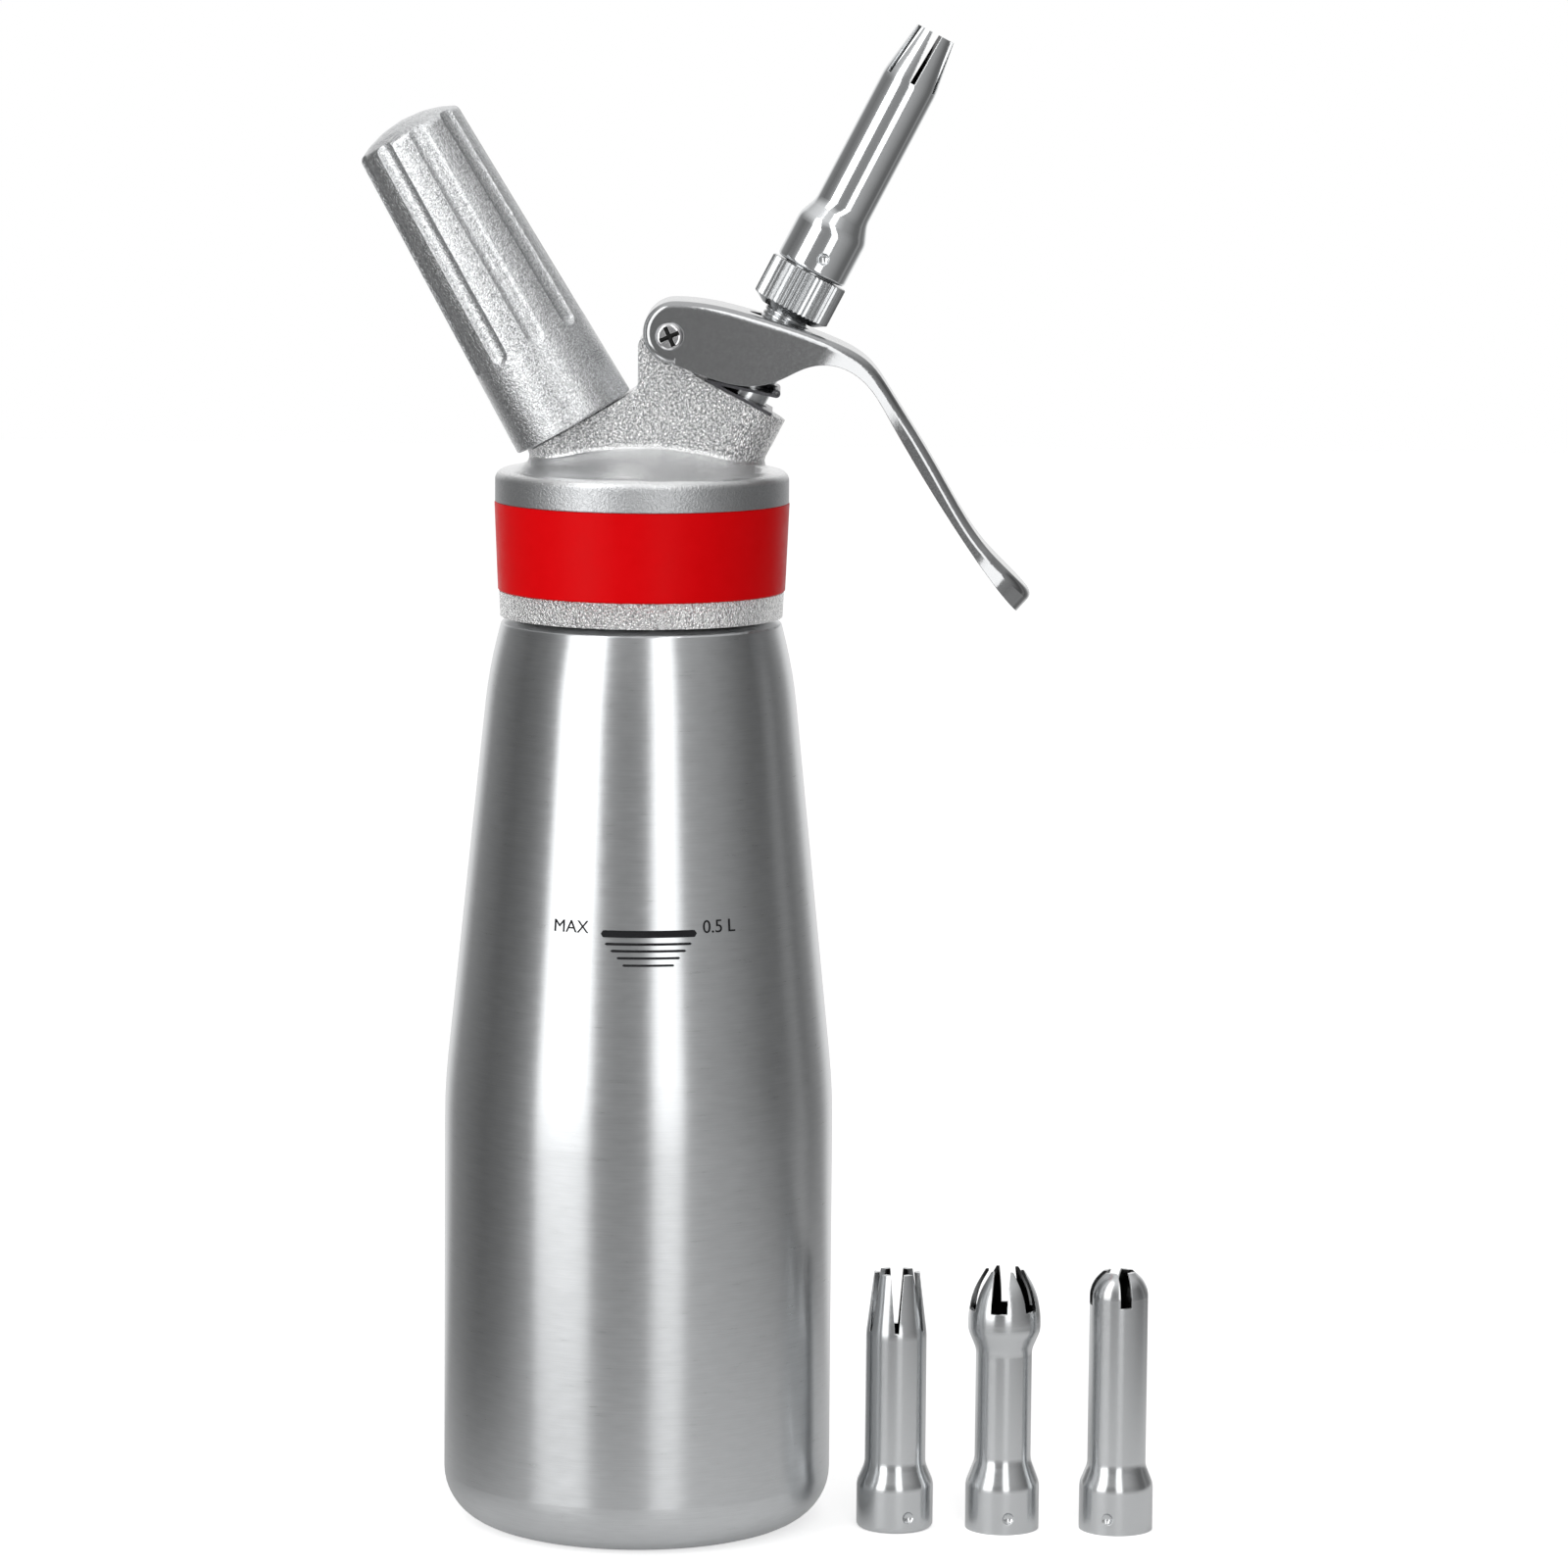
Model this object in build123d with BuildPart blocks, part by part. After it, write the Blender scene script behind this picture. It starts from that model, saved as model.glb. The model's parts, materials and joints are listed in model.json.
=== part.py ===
from build123d import *

import os
from math import cos, pi, radians, sin

# A half-litre whipped cream dispenser: steel bottle, cast head with lever valve and gas charger
# holder, the nozzle on it and three spare nozzles that stand beside it.
# Millimetres, +Z up. The origin is the middle of the bottle's flat base, +X points to the
# handle of the lever and -Y to the side where the pivot screw's head is.

# ---------------------------------------------------------------- driving dimensions
# Bottle
bottle_radius = 41.5
bottle_wall = 1.2
base_corner = 11.0
cone_start_height = 93.8
cone_end_height = 183.2
cone_end_radius = 32.33
shoulder_rise = 10.4
shoulder_step = 4.35
shoulder_lip = 1.2
neck_radius = 25.4
neck_wall = 2.2
neck_height = 23.6

# Screw thread between the bottle and the head
bottle_thread_pitch = 4.5
bottle_thread_depth = 1.1
bottle_thread_width = 2.2
bottle_thread_turns = 2.5
thread_gap = 0.4

# Head
skirt_wall = 1.7
skirt_lift = 1.4
skirt_ring_height = 5.4
skirt_ring_step = 1.35
collar_step = 2.5
crown_height = 6.8
collar_round = 2.2
dome_rise = 5.4
dome_fullness = 0.63
slab_width = 20.0
slab_cove = 1.8
gasket_thickness = 2.0
seal_gap = 0.05
band_gap = 0.05
band_lower_step = 1.83
band_upper_step = 2.63

# Charger holder, its stub on the head and the charger
holder_lean = -30.0
holder_seat_x = -14.25
holder_seat_rise = 9.45
holder_wall = 2.8
holder_taper = 1.85
holder_end_wall = 6.0
holder_dome = 3.1
flute_count = 9
flute_radius = 3.2
flute_depth = 0.85
flute_start = 21.0
stub_radius = 9.8
stub_height = 7.5
stub_thread_pitch = 2.0
stub_thread_depth = 0.7
stub_thread_width = 0.95
stub_thread_gap = 0.35
seat_gap = 0.1
rim_gap = 0.45
charger_radius = 9.0
charger_length = 65.5
charger_neck_radius = 4.4
charger_neck_length = 9.2
charger_gap = 0.4
needle_radius = 0.9
needle_reach = 2.4
charger_seal_thickness = 1.9

# Valve, nozzle adapter and fitted nozzle
valve_lean = 27.4
boss_face_x = 21.2
boss_face_rise = 15.1
boss_depth = 17.0
stem_radius = 4.8
stem_bore = 2.4
stem_waist_radius = 3.6
running_gap = 0.08
bush_wall = 1.4
bush_length = 15.5
valve_tube_wall = 1.5
valve_tube_length = 27.0
valve_flange_radius = 6.0
valve_flange_thickness = 1.5
valve_seal_thickness = 1.6
o_ring_section = 0.6
ring_gap = 0.02
collar_radius_on_stem = 6.6
collar_thickness_on_stem = 1.6
collar_height_on_stem = 14.75
adapter_start = 20.1
adapter_height = 10.0
adapter_radius = 8.5
knurl_depth = 0.45
knurl_count = 48
adapter_neck_radius = 5.85
adapter_neck_length = 8.2
adapter_thread_lead = 9.0
adapter_thread_starts = 3
adapter_thread_depth = 0.75
washer_thickness = 1.2
nozzle_gap = 0.35
socket_bore = 6.85
socket_height = 9.9
ogee_height = 4.1
dimple_height = 3.6
dimple_radius = 1.5
dimple_reach = 0.75
fitted_socket_radius = 7.8
fitted_tube_radius = 6.1
fitted_tip_radius = 4.3
fitted_length = 56.0
fitted_taper = 44.5
nozzle_wall = 0.9
fitted_slot_low_width = 1.2
fitted_slot_high_width = 2.3
fitted_slot_turn = 4.0
fitted_dimple_turn = 8.0
tip_blend = 14.0
bore_blend = 12.0

# Lever
pivot_x = 5.8
pivot_rise = 28.7
pivot_radius = 2.2
lug_radius = 4.0
lever_sheet = 1.4
lever_side_gap = 0.3
lever_round = 1.8
lever_end_round = 9.0
lever_neck_half_width = 9.3
lever_paddle_half_width = 11.1
lever_length = 93.5
lever_droop = 42.0
web_window_length = 12.8
web_window_width = 11.4
web_window_shift = 0.9
web_window_depth = 14.0
screw_head_radius = 3.0
screw_head_height = 1.7
spring_sheet = 0.6

# Spare nozzles
spare_row_gap = 14.05
tulip_spacing = 23.05
round_spacing = 24.4
spare_row_y = -9.0
star_socket_radius = 8.2
star_tube_radius = 6.5
star_wall = 1.2
star_taper = 42.5
star_tip_radius = 4.9
star_slot_low_width = 0.8
star_slot_high_width = 2.9
star_slot_rise = 0.6
star_length = 55.5
tulip_socket_radius = 7.9
tulip_neck_radius = 6.0
tulip_neck_end = 39.0
tulip_bulb_radius = 7.75
tulip_bulb_start = 43.2
tulip_bulb_end = 46.6
tulip_petal_radius = 6.9
tulip_petal_bend = 51.6
tulip_tip_radius = 4.1
tulip_length = 56.3
tulip_slot_bottom = 47.8
tulip_slot_width = 3.5
round_socket_radius = 7.9
round_tube_radius = 6.25
round_length = 56.0
round_petal_bend = 53.4
round_tip_radius = 3.45
round_dome = 6.0
round_slot_bottom = 49.1
round_slot_width = 2.4

os.makedirs("parts", exist_ok=True)

# ---------------------------------------------------------------- worked-out sizes
shoulder_height = cone_end_height + shoulder_rise
rim_height = shoulder_height + neck_height
ceiling_height = rim_height + gasket_thickness + 2 * seal_gap
crown_top = ceiling_height + crown_height
skirt_bore = neck_radius + bottle_thread_depth + thread_gap
band_seat_radius = skirt_bore + skirt_wall
ring_radius = band_seat_radius + skirt_ring_step
ring_bottom = shoulder_height + skirt_lift
ring_top = ring_bottom + skirt_ring_height
collar_radius = band_seat_radius + collar_step
shoulder_radius = neck_radius + shoulder_step
neck_bore = neck_radius - neck_wall
# long blends at the two ends of the cone, as shares of the heights beside them
cone_start_blend = (cone_end_height - cone_start_height) * 1.56
shoulder_blend = shoulder_rise * 9.6

holder_seat_height = crown_top + holder_seat_rise
boss_face_height = crown_top + boss_face_rise
pivot_height = crown_top + pivot_rise

lever_half_width = slab_width / 2 + lever_side_gap + lever_sheet


def turning_plane(x, z, lean):
    """Plane of a turned piece: its X is a radius and its Y is the piece's axis, leaning to +X."""
    slope = radians(lean)
    return Plane(origin=(x, 0, z), x_dir=(cos(slope), 0, -sin(slope)), z_dir=(0, -1, 0))


def axis_of(plane):
    """The axis of a turned piece."""
    return Axis(plane.origin, plane.y_dir)


def across(plane, height, shift=0.0):
    """Plane square to a turned piece's axis, at a height along it and shifted sideways from it."""
    start = plane.origin + plane.y_dir * height + plane.x_dir * shift
    return Plane(origin=start, x_dir=plane.x_dir, z_dir=plane.y_dir)


def profile(plane, *points):
    """Closed straight-sided face through points of a plane."""
    with BuildSketch(plane) as face:
        with BuildLine():
            Polyline(*points, close=True)
        make_face()
    return face.sketch


def disc(plane, radius):
    """Round face about a plane's origin."""
    with BuildSketch(plane) as face:
        Circle(radius)
    return face.sketch


def thread_ridge(plane, start, pitch, turns, root, crest, width, turn=0):
    """Helical ridge with slanted flanks between two radii, its root sunk a little into the wall.

    It starts at a height along the axis, turned by degrees from the plane's own X direction.
    """
    sink = 0.15 if crest > root else -0.15
    base = across(plane, start)
    path = Edge.make_helix(pitch, pitch * turns, root, base.origin, base.z_dir)
    first = (path @ 0 - base.origin).normalized()
    to_x_axis = base.x_dir.get_signed_angle(first, base.z_dir)
    path = path.rotate(Axis(base.origin, base.z_dir), turn - to_x_axis)
    outward = (path @ 0 - base.origin).normalized()
    section = Plane(origin=path @ 0, x_dir=outward, z_dir=outward.cross(base.z_dir))
    half, tip = width / 2, width / 4
    shape = profile(section, (-sink, -half), (crest - root, -tip), (crest - root, tip), (-sink, half))
    return sweep(shape, path=path, is_frenet=True, mode=Mode.PRIVATE)


def finish(piece, name):
    """Label a finished piece and write it."""
    piece.part.label = name
    export_step(piece.part, f"parts/{name}.step")
    print(name, len(piece.part.solids()), round(piece.part.volume))


# ---------------------------------------------------------------- bottle
upright = turning_plane(0, 0, 0)

with BuildPart() as bottle:
    with BuildSketch(upright):
        with BuildLine():
            FilletPolyline(
                (0, 0),
                (bottle_radius, 0),
                (bottle_radius, cone_start_height),
                (cone_end_radius, cone_end_height),
                (shoulder_radius, shoulder_height),
                (neck_radius, shoulder_height + shoulder_lip),
                (neck_radius, rim_height),
                (0, rim_height),
                radius=(base_corner, cone_start_blend, shoulder_blend, 0.6, 0.8, 0.3),
            )
            Line((0, rim_height), (0, 0))
        make_face()
    revolve(axis=Axis.Z)
    with BuildSketch(upright):
        with BuildLine():
            FilletPolyline(
                (0, bottle_wall),
                (bottle_radius - bottle_wall, bottle_wall),
                (bottle_radius - bottle_wall, cone_start_height),
                (cone_end_radius - bottle_wall, cone_end_height),
                (shoulder_radius - bottle_wall - 0.2, shoulder_height - bottle_wall),
                (neck_bore, shoulder_height - bottle_wall + shoulder_lip),
                (neck_bore, rim_height + 1),
                (0, rim_height + 1),
                radius=(base_corner - bottle_wall, cone_start_blend, shoulder_blend * 0.6, 1.0, 1.0, 0.3),
            )
            Line((0, rim_height + 1), (0, bottle_wall))
        make_face()
    revolve(axis=Axis.Z, mode=Mode.SUBTRACT)
    neck_thread_start = rim_height - 3.0 - bottle_thread_pitch * bottle_thread_turns
    add(
        thread_ridge(
            upright,
            neck_thread_start,
            bottle_thread_pitch,
            bottle_thread_turns,
            neck_radius,
            neck_radius + bottle_thread_depth,
            bottle_thread_width,
        )
    )
finish(bottle, "bottle")

with BuildPart() as head_gasket:
    gasket_bottom = rim_height + seal_gap
    gasket_top = gasket_bottom + gasket_thickness
    gasket_outer = neck_radius + bottle_thread_depth
    revolve(
        profile(
            upright,
            (neck_bore, gasket_bottom),
            (gasket_outer, gasket_bottom),
            (gasket_outer, gasket_top),
            (neck_bore, gasket_top),
        ),
        axis=Axis.Z,
    )
finish(head_gasket, "head_gasket")

with BuildPart() as grip_band:
    band_bore = band_seat_radius + band_gap
    band_bottom = ring_top + band_gap
    band_top = ceiling_height - band_gap
    revolve(
        profile(
            upright,
            (band_bore, band_bottom),
            (band_seat_radius + band_lower_step, band_bottom),
            (band_seat_radius + band_upper_step, band_top),
            (band_bore, band_top),
        ),
        axis=Axis.Z,
    )
    chamfer(grip_band.edges().filter_by(GeomType.CIRCLE).sort_by(SortBy.RADIUS)[-2:], 0.25)
finish(grip_band, "grip_band")

# ---------------------------------------------------------------- head
holder_plane = turning_plane(holder_seat_x, holder_seat_height, holder_lean)
valve_plane = turning_plane(boss_face_x, boss_face_height, valve_lean)

slab_half = slab_width / 2
boss_radius = slab_half
dome_top_radius = slab_half - 4.0
seat_end = 11.5
seat_direction = holder_plane.x_dir
stub_center_shift = slab_half - seat_end


def along_seat(distance):
    """Point of the holder's seat line, in X and Z."""
    point = holder_plane.origin + seat_direction * distance
    return (point.X, point.Z)


def along_axis(plane, height, radius=0.0):
    """Point at a height along a turned piece's axis and a radius beside it, in X and Z."""
    point = plane.origin + plane.y_dir * height + plane.x_dir * radius
    return (point.X, point.Z)


lug_left = pivot_x - 6.6
lug_top = pivot_height - 0.2
seat_to_lug = (lug_left - holder_seat_x) / seat_direction.X
bury_height = crown_top - 1.0


def axis_at_height(plane, z, shift=0.0):
    """Point where a leaning axis, moved sideways by shift, passes a level, in X and Z."""
    start = plane.origin + plane.x_dir * shift
    climb = (z - start.Z) / plane.y_dir.Z
    point = start + plane.y_dir * climb
    return (point.X, point.Z)


bush_radius = stem_radius + running_gap + bush_wall
valve_bore = stem_radius + running_gap
valve_tube_radius = valve_bore + valve_tube_wall
recess_radius = charger_neck_radius + 0.6
charger_tip = -1.4
seal_bottom = charger_tip - seal_gap - charger_seal_thickness
pin_flange_top = seal_bottom - seal_gap
pin_flange_bottom = pin_flange_top - 0.8
pin_foot_bottom = pin_flange_bottom - 7.0
pin_foot_radius = 2.9
gas_hole_radius = 1.2
gas_outlet_x = axis_at_height(holder_plane, crown_top - 1.4)[0]
nipple_radius = 3.0
nipple_lip = 3.7
nipple_bottom = ceiling_height - 6.0
cavity_height = 2.3


def on_dome(edge):
    """True for an edge that lies on the head's dome."""
    box = edge.bounding_box()
    return crown_top < box.min.Z and box.max.Z < crown_top + dome_rise


with BuildPart() as head_body:
    # skirt, collar and crown
    with BuildSketch(upright):
        with BuildLine():
            Polyline(
                (dome_top_radius, crown_top + dome_rise),
                (0, crown_top + dome_rise),
                (0, ceiling_height),
                (skirt_bore, ceiling_height),
                (skirt_bore, ring_bottom),
                (ring_radius, ring_bottom),
                (ring_radius + 0.25, ring_top),
                (band_seat_radius, ring_top),
                (band_seat_radius, ceiling_height),
                (collar_radius, ceiling_height),
                (collar_radius, crown_top - collar_round),
            )
            rim = RadiusArc(
                (collar_radius, crown_top - collar_round),
                (collar_radius - collar_round, crown_top),
                -collar_round,
            )
            dome_foot = (collar_radius - collar_round - 1.2, crown_top + 0.1)
            Line(rim @ 1, dome_foot)
            ThreePointArc(
                dome_foot,
                ((dome_foot[0] + dome_top_radius) / 2, crown_top + dome_rise * dome_fullness),
                (dome_top_radius, crown_top + dome_rise),
            )
        make_face()
    revolve(axis=Axis.Z)
    # slab with the pivot lug
    with BuildSketch(Plane.XZ):
        with BuildLine():
            FilletPolyline(
                axis_at_height(holder_plane, bury_height, stub_center_shift),
                along_seat(stub_center_shift),
                along_seat(seat_to_lug),
                (lug_left, lug_top),
                (pivot_x, lug_top),
                (pivot_x + lug_radius, pivot_height),
                along_axis(valve_plane, 0, -boss_radius - 1.8),
                along_axis(valve_plane, 0),
                axis_at_height(valve_plane, bury_height),
                radius=(0, 2.6, 2.0, 0, 0, 2.0, 0),
            )
            Line(
                axis_at_height(valve_plane, bury_height),
                axis_at_height(holder_plane, bury_height, stub_center_shift),
            )
        make_face()
    extrude(amount=slab_half, both=True)
    with BuildSketch(Plane.XZ):
        with Locations((pivot_x, pivot_height)):
            Circle(lug_radius)
    extrude(amount=slab_half, both=True)
    # round ends of the slab: the valve boss and the side under the holder
    extrude(disc(across(valve_plane, 0), boss_radius), amount=-boss_depth)
    extrude(disc(across(holder_plane, 0, stub_center_shift), slab_half), amount=-9.0)
    # hollow rounding where the slab rises from the dome
    fillet(head_body.edges().filter_by(GeomType.BSPLINE).filter_by(on_dome), slab_cove)
    # threaded stub
    extrude(disc(across(holder_plane, -2.0), stub_radius), amount=2.0 + stub_height)
    # space over the bottle's mouth, valve tube and gas nipple
    with BuildSketch(Plane.XY.offset(ceiling_height - 1)):
        Circle(neck_bore - 1.7)
    extrude(amount=1 + cavity_height, mode=Mode.SUBTRACT)
    extrude(disc(across(valve_plane, -valve_tube_length), valve_tube_radius), amount=9.0)
    nipple_plane = turning_plane(gas_outlet_x, nipple_bottom, 0)
    revolve(
        profile(
            nipple_plane,
            (0, 0),
            (nipple_lip, 0),
            (nipple_lip, 0.6),
            (nipple_radius, 0.6),
            (nipple_radius, 6.0 + cavity_height + 1.0),
            (0, 6.0 + cavity_height + 1.0),
        ),
        axis=axis_of(nipple_plane),
    )
    # bores
    extrude(disc(across(valve_plane, 1), bush_radius + 0.03), amount=-bush_length - 1.4, mode=Mode.SUBTRACT)
    extrude(disc(across(valve_plane, 1), valve_bore), amount=-valve_tube_length - 2, mode=Mode.SUBTRACT)
    extrude(
        disc(across(holder_plane, stub_height + 1), recess_radius),
        amount=-(stub_height + 1 - pin_flange_bottom + seal_gap),
        mode=Mode.SUBTRACT,
    )
    extrude(
        disc(across(holder_plane, 0), pin_foot_radius + seal_gap),
        amount=pin_foot_bottom - seal_gap,
        mode=Mode.SUBTRACT,
    )
    extrude(
        disc(across(holder_plane, pin_foot_bottom + 1), gas_hole_radius),
        amount=-(holder_seat_height - crown_top + 1.4) / cos(radians(holder_lean)) - pin_foot_bottom - 1,
        mode=Mode.SUBTRACT,
    )
    with BuildSketch(Plane.XY.offset(nipple_bottom - 1)):
        with Locations((gas_outlet_x, 0)):
            Circle(gas_hole_radius)
    extrude(amount=crown_top - 1.4 - nipple_bottom + 1, mode=Mode.SUBTRACT)
    with BuildSketch(Plane.XZ):
        with Locations((pivot_x, pivot_height)):
            Circle(pivot_radius + 0.03)
    extrude(amount=slab_width, both=True, mode=Mode.SUBTRACT)
    # threads
    add(
        thread_ridge(
            upright,
            neck_thread_start + bottle_thread_pitch / 2,
            bottle_thread_pitch,
            bottle_thread_turns - 0.5,
            skirt_bore,
            skirt_bore - bottle_thread_depth,
            bottle_thread_width,
        )
    )
    add(
        thread_ridge(
            holder_plane,
            1.6,
            stub_thread_pitch,
            2.2,
            stub_radius,
            stub_radius + stub_thread_depth,
            stub_thread_width,
        )
    )
finish(head_body, "head_body")

# ---------------------------------------------------------------- charger holder and what is in it
holder_bore = stub_radius + stub_thread_depth + stub_thread_gap
holder_radius = holder_bore + holder_wall
charger_end = charger_tip + charger_length
holder_end = charger_end + seat_gap + holder_end_wall
holder_top_radius = holder_radius - holder_taper
holder_cavity = charger_radius + charger_gap

with BuildPart() as charger_holder:
    with BuildSketch(holder_plane):
        with BuildLine():
            FilletPolyline(
                (holder_bore, rim_gap),
                (holder_radius, rim_gap),
                (holder_top_radius, holder_end),
                (holder_top_radius * 0.72, holder_end + holder_dome * 0.5),
                (holder_top_radius * 0.4, holder_end + holder_dome * 0.86),
                (0, holder_end + holder_dome),
                radius=(0.4, 1.6, 9.0, 12.0),
            )
            Polyline(
                (0, holder_end + holder_dome),
                (0, charger_end + seat_gap),
                (holder_cavity, charger_end + seat_gap),
                (holder_cavity, stub_height + 2.0),
                (holder_bore, stub_height + 0.6),
                (holder_bore, rim_gap),
            )
        make_face()
    revolve(axis=axis_of(holder_plane))
    # flutes: round-bottomed grooves that start above the rim and run out at the top
    flute_length = holder_end + holder_dome - flute_start
    lean_in = holder_taper / (holder_end - seat_gap)
    flute_axis_radius = holder_radius - lean_in * flute_start - flute_depth + flute_radius
    flute_foot = across(holder_plane, flute_start, flute_axis_radius).origin
    flute_up = (holder_plane.y_dir - holder_plane.x_dir * lean_in).normalized()
    groove = extrude(
        disc(Plane(origin=flute_foot, x_dir=(0, 1, 0), z_dir=flute_up), flute_radius),
        amount=flute_length,
        mode=Mode.PRIVATE,
    )
    groove_end = Pos(*flute_foot) * Sphere(flute_radius, mode=Mode.PRIVATE)
    first_flute = 12.0 - 90.0
    for count in range(flute_count):
        turn = first_flute + count * 360 / flute_count
        add(groove.rotate(axis_of(holder_plane), turn), mode=Mode.SUBTRACT)
        add(groove_end.rotate(axis_of(holder_plane), turn), mode=Mode.SUBTRACT)
    add(
        thread_ridge(
            holder_plane,
            1.6 + stub_thread_pitch / 2,
            stub_thread_pitch,
            2.0,
            holder_bore,
            holder_bore - stub_thread_depth,
            stub_thread_width,
        )
    )
finish(charger_holder, "charger_holder")

with BuildPart() as gas_charger:
    with BuildSketch(holder_plane):
        with BuildLine():
            FilletPolyline(
                (0, charger_tip),
                (charger_neck_radius, charger_tip),
                (charger_neck_radius, charger_tip + charger_neck_length),
                (charger_radius, charger_tip + charger_neck_length + 6.0),
                (charger_radius, charger_end),
                (0, charger_end),
                radius=(0.5, 3.0, 5.0, 7.5),
            )
            Line((0, charger_end), (0, charger_tip))
        make_face()
    revolve(axis=axis_of(holder_plane))
    # the pierced cap
    pierced = disc(across(holder_plane, charger_tip), needle_radius + 0.25)
    extrude(pierced, amount=needle_reach + 1.0, mode=Mode.SUBTRACT)
finish(gas_charger, "gas_charger")

with BuildPart() as piercing_pin:
    needle_top = charger_tip + needle_reach
    revolve(
        profile(
            holder_plane,
            (0.35, pin_foot_bottom),
            (pin_foot_radius, pin_foot_bottom),
            (pin_foot_radius, pin_flange_bottom),
            (recess_radius - seal_gap, pin_flange_bottom),
            (recess_radius - seal_gap, pin_flange_top),
            (needle_radius, pin_flange_top),
            (needle_radius, needle_top - 1.0),
            (0.4, needle_top),
            (0.35, needle_top),
        ),
        axis=axis_of(holder_plane),
    )
finish(piercing_pin, "piercing_pin")

with BuildPart() as charger_seal:
    revolve(
        profile(
            holder_plane,
            (needle_radius + 0.2, seal_bottom),
            (recess_radius - seal_gap, seal_bottom),
            (recess_radius - seal_gap, seal_bottom + charger_seal_thickness),
            (needle_radius + 0.2, seal_bottom + charger_seal_thickness),
        ),
        axis=axis_of(holder_plane),
    )
finish(charger_seal, "charger_seal")

with BuildPart() as check_valve_sleeve:
    revolve(
        profile(
            nipple_plane,
            (nipple_radius + seal_gap, 0.65),
            (nipple_radius + 1.1, 0.65),
            (nipple_radius + 1.3, 1.4),
            (nipple_radius + 1.3, 5.0),
            (nipple_radius + seal_gap, 5.0),
        ),
        axis=axis_of(nipple_plane),
    )
finish(check_valve_sleeve, "check_valve_sleeve")

# ---------------------------------------------------------------- valve
stem_top = adapter_start + adapter_height + adapter_neck_length - 0.8
seat_height = -valve_tube_length
valve_seal_top = seat_height - seal_gap
valve_seal_bottom = valve_seal_top - valve_seal_thickness
flange_top = valve_seal_bottom - seal_gap
flange_bottom = flange_top - valve_flange_thickness
waist_top = seat_height + 8.0
ring_heights = (-bush_length * 0.3, -bush_length * 0.7)
ring_axis_radius = valve_bore - ring_gap - o_ring_section
groove_radius = ring_axis_radius - o_ring_section - ring_gap

with BuildPart() as valve_bush:
    revolve(
        profile(
            valve_plane,
            (valve_bore, -bush_length),
            (bush_radius, -bush_length),
            (bush_radius, -seal_gap),
            (valve_bore + 0.3, -seal_gap),
            (valve_bore, -seal_gap - 0.3),
        ),
        axis=axis_of(valve_plane),
    )
finish(valve_bush, "valve_bush")

with BuildPart() as valve_stem:
    revolve(
        profile(
            valve_plane,
            (0, flange_bottom),
            (valve_flange_radius, flange_bottom),
            (valve_flange_radius, flange_top),
            (stem_waist_radius, flange_top),
            (stem_waist_radius, waist_top),
            (stem_radius, waist_top),
            (stem_radius, collar_height_on_stem - collar_thickness_on_stem),
            (collar_radius_on_stem, collar_height_on_stem - collar_thickness_on_stem),
            (collar_radius_on_stem, collar_height_on_stem),
            (stem_radius, collar_height_on_stem),
            (stem_radius, stem_top),
            (0, stem_top),
        ),
        axis=axis_of(valve_plane),
    )
    for ring_height in ring_heights:
        revolve(
            profile(
                valve_plane,
                (groove_radius, ring_height - o_ring_section - 0.1),
                (stem_radius + 1, ring_height - o_ring_section - 0.1),
                (stem_radius + 1, ring_height + o_ring_section + 0.1),
                (groove_radius, ring_height + o_ring_section + 0.1),
            ),
            axis=axis_of(valve_plane),
            mode=Mode.SUBTRACT,
        )
    # cream passage: a blind bore with cross holes through the waist
    passage = disc(across(valve_plane, stem_top), stem_bore)
    extrude(passage, amount=seat_height + 2.0 - stem_top, mode=Mode.SUBTRACT)
    hole_height = seat_height + 4.0
    hole_center = valve_plane.origin + valve_plane.y_dir * hole_height
    for hole_plane in (
        Plane(origin=hole_center, x_dir=valve_plane.x_dir, z_dir=(0, -1, 0)),
        Plane(origin=hole_center, x_dir=(0, 1, 0), z_dir=valve_plane.x_dir),
    ):
        extrude(disc(hole_plane, 1.5), amount=stem_radius, both=True, mode=Mode.SUBTRACT)
    # external thread for the adapter, shown as a run of shallow rings
    thread_count = 9
    thread_step = 1.0
    for count in range(thread_count):
        groove_height = collar_height_on_stem + 2.2 + count * thread_step
        revolve(
            profile(
                valve_plane,
                (stem_radius - 0.35, groove_height),
                (stem_radius + 0.1, groove_height - 0.38),
                (stem_radius + 0.1, groove_height + 0.38),
            ),
            axis=axis_of(valve_plane),
            mode=Mode.SUBTRACT,
        )
finish(valve_stem, "valve_stem")

with BuildPart() as stem_o_rings:
    for ring_height in ring_heights:
        ring_center = valve_plane.origin + valve_plane.y_dir * ring_height
        section = Plane(
            origin=ring_center + valve_plane.x_dir * ring_axis_radius,
            x_dir=valve_plane.x_dir,
            z_dir=(0, -1, 0),
        )
        revolve(disc(section, o_ring_section), axis=axis_of(valve_plane))
finish(stem_o_rings, "stem_o_rings")

with BuildPart() as valve_seal:
    revolve(
        profile(
            valve_plane,
            (stem_waist_radius + seal_gap, valve_seal_bottom),
            (valve_flange_radius, valve_seal_bottom),
            (valve_flange_radius, valve_seal_top),
            (stem_waist_radius + seal_gap, valve_seal_top),
        ),
        axis=axis_of(valve_plane),
    )
finish(valve_seal, "valve_seal")

# ---------------------------------------------------------------- nozzle adapter
adapter_top = adapter_start + adapter_height
adapter_bore = stem_radius + seal_gap
nozzle_start = adapter_top + nozzle_gap
bump_turn = fitted_dimple_turn - 90.0
bump_height = nozzle_start + dimple_height
adapter_thread_width = 1.1
adapter_thread_start = adapter_top + 0.6
adapter_thread_step = adapter_thread_lead / adapter_thread_starts

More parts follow.
